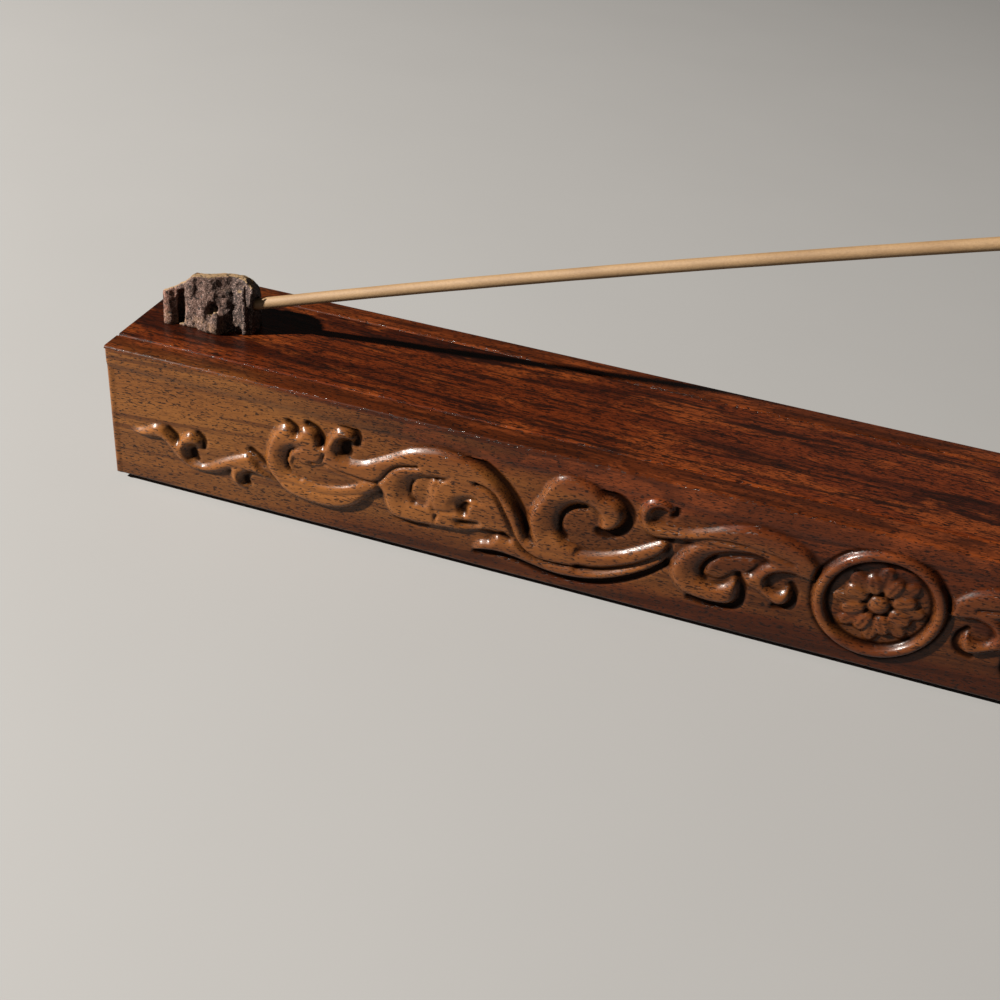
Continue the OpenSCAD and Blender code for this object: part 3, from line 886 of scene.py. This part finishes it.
def root_field(p, hole_start, hole_axis):
    """A distance-like field of the holder in its own millimetres: below 0 inside the wood."""
    rough = p + 0.35 * np.stack([lattice_noise(p, 2.3, s) for s in (1, 2, 3)], axis=-1)
    # the front faces a little to the right: across and back are measured along it
    across = FACING[0] * rough[..., 0] + FACING[1] * rough[..., 1]
    back = FACING[0] * rough[..., 1] - FACING[1] * rough[..., 0]
    wood = root_block(rough, across, back)
    ridge = lump(p, (6.9, -2.3, 3.9), (0.42, 0.75, 5.4))
    bulge = lump(p, (2.1, -4.4, 1.7), (1.2, 1.2, 2.5))
    for extra in (ridge, bulge):
        wood = blend_low(wood, extra, 0.5)
    for hollow in root_hollows(rough, across, back):
        wood = blend_high(wood, -hollow, 0.3)
    grain = 0.15 * lattice_noise(p * (1, 1, 0.7), 0.75, 4)
    grain = grain + 0.11 * lattice_noise(p * (1, 1, 0.8), 0.42, 5)
    furrows = 0.22 * lattice_noise(p * (1, 1, 0.16), 0.8, 6) * np.clip((p[..., 0] - 2.0) / 2, 0, 1)
    return np.maximum(wood + grain + furrows, -stick_hole(p, hole_start, hole_axis))


def net_surface(field, origin, cell):
    """Points and four-sided faces of the surface where a gridded field is 0 (surface nets)."""
    solid = field < 0
    count = np.zeros(np.array(field.shape) - 1)
    total = np.zeros((*count.shape, 3))
    corners = list(np.ndindex(2, 2, 2))

    def at(offset, values):
        return values[tuple(slice(o, n - 1 + o) for o, n in zip(offset, values.shape))]

    for a in corners:
        for axis in range(3):
            if a[axis]:
                continue
            b = tuple(1 if k == axis else a[k] for k in range(3))
            fa, fb = at(a, field), at(b, field)
            crossing = at(a, solid) != at(b, solid)
            t = np.where(crossing, fa / np.where(crossing, fa - fb, 1), 0)
            point = np.array(a, float) + t[..., None] * (np.array(b) - np.array(a))
            total += np.where(crossing[..., None], point, 0)
            count += crossing
    used = count > 0
    number = np.full(count.shape, -1)
    number[used] = np.arange(used.sum())
    cells = np.argwhere(used)
    points = origin + cell * (cells + total[used] / count[used][:, None])
    faces = []
    for axis in range(3):
        u, v = (axis + 1) % 3, (axis + 2) % 3
        low = np.take(solid, range(field.shape[axis] - 1), axis)
        high = np.take(solid, range(1, field.shape[axis]), axis)
        for i in np.argwhere(low != high):
            if min(i[u], i[v]) < 1 or i[u] >= count.shape[u] or i[v] >= count.shape[v]:
                continue
            step_u, step_v = np.eye(3, dtype=int)[u], np.eye(3, dtype=int)[v]
            ring = [number[tuple(c)] for c in (i, i - step_u, i - step_u - step_v, i - step_v)]
            faces.append(ring if solid[tuple(i)] else ring[::-1])
    return points, faces


def stick_holder():
    """The holder's rough block of root wood, flat underneath and bored for the stick."""
    margin = 1.2
    top = holder_high[2] - TOP
    axes = [np.arange(low, high, ROOT_CELL) for low, high in (
        (holder_low[0] - HOLDER_MIDDLE - margin, holder_high[0] - HOLDER_MIDDLE + margin),
        (holder_low[1] - margin, holder_high[1] + margin), (-2 * ROOT_CELL, top + margin))]
    p = np.stack(np.meshgrid(*axes, indexing="ij"), axis=-1)
    line, _ = stick_line(np.array((0.0, 0.01)))
    hole_axis = (line[1] - line[0]) / np.linalg.norm(line[1] - line[0])
    field = root_field(p, line[0] - (HOLDER_MIDDLE, 0, TOP), hole_axis)
    field = np.maximum(field, -p[..., 2] - 1e-3)
    field = np.maximum(field, np.abs(p[..., 0]) - (holder_high[0] - HOLDER_MIDDLE))
    field = np.maximum(field, p[..., 2] - top)
    origin = np.array([a[0] for a in axes]) + (HOLDER_MIDDLE, 0, TOP)
    points, faces = net_surface(field, origin, ROOT_CELL)
    points[:, 2] = np.where(points[:, 2] < TOP + 0.6 * ROOT_CELL, TOP, points[:, 2])
    return mesh_object("root_holder", points, faces, 180)


# ---------------- the incense stick

def tube(name, line, across, turns=24, smooth_below=40):
    """A closed round bar along a line of points; across gives its radius at each."""
    line = np.asarray(line, float)
    ahead = np.gradient(line, axis=0)
    ahead /= np.linalg.norm(ahead, axis=1)[:, None]
    side = np.cross(ahead, (0, 0, 1))
    side /= np.linalg.norm(side, axis=1)[:, None]
    up = np.cross(side, ahead)
    rings = []
    for centre, s, u, r in zip(line, side, up, across):
        angles = np.linspace(0, 2 * math.pi, turns, endpoint=False)
        rings.append(centre + r * (np.cos(angles)[:, None] * s + np.sin(angles)[:, None] * u))
    return ring_mesh(name, rings, smooth_below)


def stick_line(shares):
    """Points at the given shares of the stick's arc, which leaves its hole along the slide's axis and
    droops away from it; and the stick's radius."""
    slide = next(j for j in frame["joints"] if j["name"] == "stick_slide")
    rise = math.atan2(slide["axis"][2], slide["axis"][0])
    radius = (stick_high[1] - stick_low[1]) / 2
    start = np.array((stick_low[0] + radius * math.sin(rise), 0, stick_low[2] + radius * math.cos(rise)))
    droop = 0.0
    for _ in range(4):
        end_angle = rise - droop
        run = stick_high[0] - radius * math.sin(end_angle) - start[0]
        lift = stick_high[2] - radius * math.cos(end_angle) - start[2]
        droop = 2 * (rise - math.atan2(lift, run))
    turn_r = run / (math.sin(rise) - math.sin(rise - droop))
    turns = shares * droop
    return start + turn_r * np.stack([math.sin(rise) - np.sin(rise - turns), 0 * turns,
                                      np.cos(rise - turns) - math.cos(rise)], axis=-1), radius


def incense_stick():
    """The stick: almost even in thickness, with its two ends slightly worn."""
    ends = 0.0012
    shares = np.array([0.0, *np.linspace(ends, 1 - ends, 120), 1.0])
    line, radius = stick_line(shares)
    swell = radius * (1 - 0.012 * (1 + np.sin(9 * math.pi * shares + 1) * np.sin(23 * math.pi * shares)))
    swell[[0, -1]] -= 0.2
    return tube("joss_stick", line, swell)


def incense_paste():
    """Pressed incense powder: pale tan, matt and faintly grainy, with a slow change of tone."""
    m = Nodes("incense_paste")
    place = m.position()
    slow = m.noise(place, (0.03, 0.2, 0.2), detail=2.0)
    grain = m.noise(place, (1.4, 3.0, 3.0), detail=4.0, roughness=0.7)
    speck = m.noise(place, scale=5.0, detail=2.0, roughness=0.7)
    colour = m.mix(m.remap(slow, 0.35, 0.65), (0.145, 0.083, 0.034), (0.185, 0.112, 0.05))
    colour = m.mix(m.remap(grain, 0.35, 0.75, 0.0, 0.35), colour, (0.085, 0.045, 0.018))
    colour = m.mix(m.remap(speck, 0.62, 0.75, 0.0, 0.5), colour, (0.06, 0.032, 0.014))
    m.set("Base Color", colour)
    m.set("Roughness", 0.72)
    m.set("Normal", m.bump(m.math("ADD", grain, speck), 0.5, 0.00006))
    return m.material


def root_wood():
    """Weathered root wood: dark brown, pale grains, pinker at the lobe, with painted light on the faces
    that look up and painted shade on its right-hand part.
    """
    m = Nodes("root_wood")
    place = m.position()
    x = m.part(place, "X")
    z = m.part(place, "Z")
    facing_up = m.part(m.add("ShaderNodeNewGeometry").outputs["Normal"], "Z")
    blotch = m.noise(place, scale=0.5, detail=3.0, roughness=0.65)
    grain = m.noise(place, scale=4.2, detail=2.5, roughness=0.75)
    pits = m.noise(place, scale=1.5, detail=3.0, roughness=0.7, distortion=0.4)
    colour = m.mix(m.remap(blotch, 0.4, 0.6), (0.046, 0.024, 0.017), (0.1, 0.054, 0.04))
    lobe = m.math("MULTIPLY", m.remap(x, -136.0, -138.4), m.remap(blotch, 0.3, 0.55, 0.4, 0.9))
    colour = m.mix(lobe, colour, (0.125, 0.05, 0.031))
    foot = m.math("MULTIPLY", m.remap(z, TOP + 3.6, TOP + 1.4), m.remap(blotch, 0.42, 0.56, 0.1, 0.9))
    colour = m.mix(foot, colour, (0.13, 0.075, 0.04))
    # painted shade: the holder's right-hand part, round its pit, is painted near black
    shaded = m.remap(x, -128.6, -127.6, 0.0, 0.75)
    colour = m.mix(shaded, colour, (0.01, 0.006, 0.005))
    colour = m.mix(m.remap(grain, 0.52, 0.64, 0.0, 0.75), colour, (0.3, 0.205, 0.175))
    # painted light: the faces that look up are painted pale tan
    colour = m.mix(m.remap(facing_up, 0.55, 0.85, 0.0, 0.85), colour, (0.2, 0.128, 0.062))
    colour = m.mix(m.remap(pits, 0.47, 0.38, 0.0, 0.9), colour, (0.006, 0.004, 0.003))
    m.set("Base Color", colour)
    m.set("Roughness", m.remap(grain, 0.3, 0.7, 0.62, 0.88))
    m.set("Specular IOR Level", 0.25)
    normal = m.bump(m.math("SUBTRACT", pits, m.math("MULTIPLY", grain, 0.5)), 0.8, 0.0003)
    m.set("Normal", normal)
    return m.material


def felt():
    """Dark brown wool felt: matt, with short fibres every way."""
    m = Nodes("felt")
    place = m.position()
    fibres = m.noise(place, scale=3.0, detail=5.0, roughness=0.8, distortion=1.5)
    colour = m.mix(m.remap(fibres, 0.3, 0.7), (0.02, 0.014, 0.011), (0.065, 0.048, 0.04))
    m.set("Base Color", colour)
    m.set("Roughness", 0.95)
    m.set("Sheen Weight", 0.4)
    m.set("Normal", m.bump(fibres, 0.8, 0.0002))
    return m.material


def beech():
    """Turned beech dowel: pale, with fine flecks along its length."""
    m = Nodes("beech")
    place = m.position()
    flecks = m.noise(place, (5.0, 5.0, 0.9), detail=3.0)
    tone = m.noise(place, (1.0, 1.0, 0.2), detail=2.0)
    colour = m.mix(m.remap(tone, 0.3, 0.7), (0.56, 0.36, 0.19), (0.66, 0.45, 0.26))
    colour = m.mix(m.remap(flecks, 0.6, 0.72, 0.0, 0.6), colour, (0.3, 0.16, 0.08))
    m.set("Base Color", colour)
    m.set("Roughness", 0.6)
    m.set("Normal", m.bump(flecks, 0.5, 0.00008))
    return m.material


# ---------------- the scene

def dress(piece, material):
    """Gives a piece one material all over."""
    piece.data.materials.clear()
    piece.data.materials.append(material)


def stand_in_for(piece, node, body, material):
    """Puts a detailed piece in the place of a CAD node, on the same body."""
    dress(piece, material)
    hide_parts(node)
    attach(piece, body)


def wall_wood():
    tones = (0.14, 0.052, 0.0115), (0.098, 0.036, 0.009), (0.045, 0.014, 0.004)
    # The wall's dark colour is partly painted shade, and its warm patches are painted sheen along the
    # upper edge.
    return rosewood("wall_rosewood", tones, seed=1, heart_and_shade=(0.052, 0.0105, 0.0022),
                    warm_and_sheen=(0.105, 0.0225, 0.005), figure=0.3)


def lid_wood():
    tones = (0.068, 0.012, 0.0024), (0.026, 0.0046, 0.0014), (0.005, 0.0013, 0.0007)
    return rosewood("lid_rosewood", tones, seed=4, warm_and_sheen=(0.12, 0.0255, 0.0048), figure=1.0)


def end_wood():
    tones = (0.07, 0.024, 0.007), (0.042, 0.014, 0.005), (0.016, 0.005, 0.002)
    return rosewood("end_rosewood", tones, seed=7, grain_axis="Z")


def panel_wood():
    tones = (0.055, 0.017, 0.006), (0.032, 0.009, 0.004), (0.014, 0.004, 0.002)
    return rosewood("panel_rosewood", tones, seed=9, gloss=0.5)


def build():
    walls, ends = wall_wood(), end_wood()
    stand_in_for(long_wall("carved_front", -1), "front_wall", "box", walls)
    stand_in_for(long_wall("carved_back", 1), "back_wall", "box", walls)
    stand_in_for(stick_holder(), "stick_holder", "lid", root_wood())
    stand_in_for(incense_stick(), "incense_stick", "stick", incense_paste())
    for node, material in (("left_end_wall", ends), ("right_end_wall", ends),
                           ("bottom_panel", panel_wood()), ("sliding_lid", lid_wood()),
                           ("foot_pads", felt()), ("holder_dowels", beech())):
        dress(frame["nodes"][node], material)


build()
add_floor()
add_lights()
add_camera()
bpy.context.scene.view_settings.view_transform = "Standard"
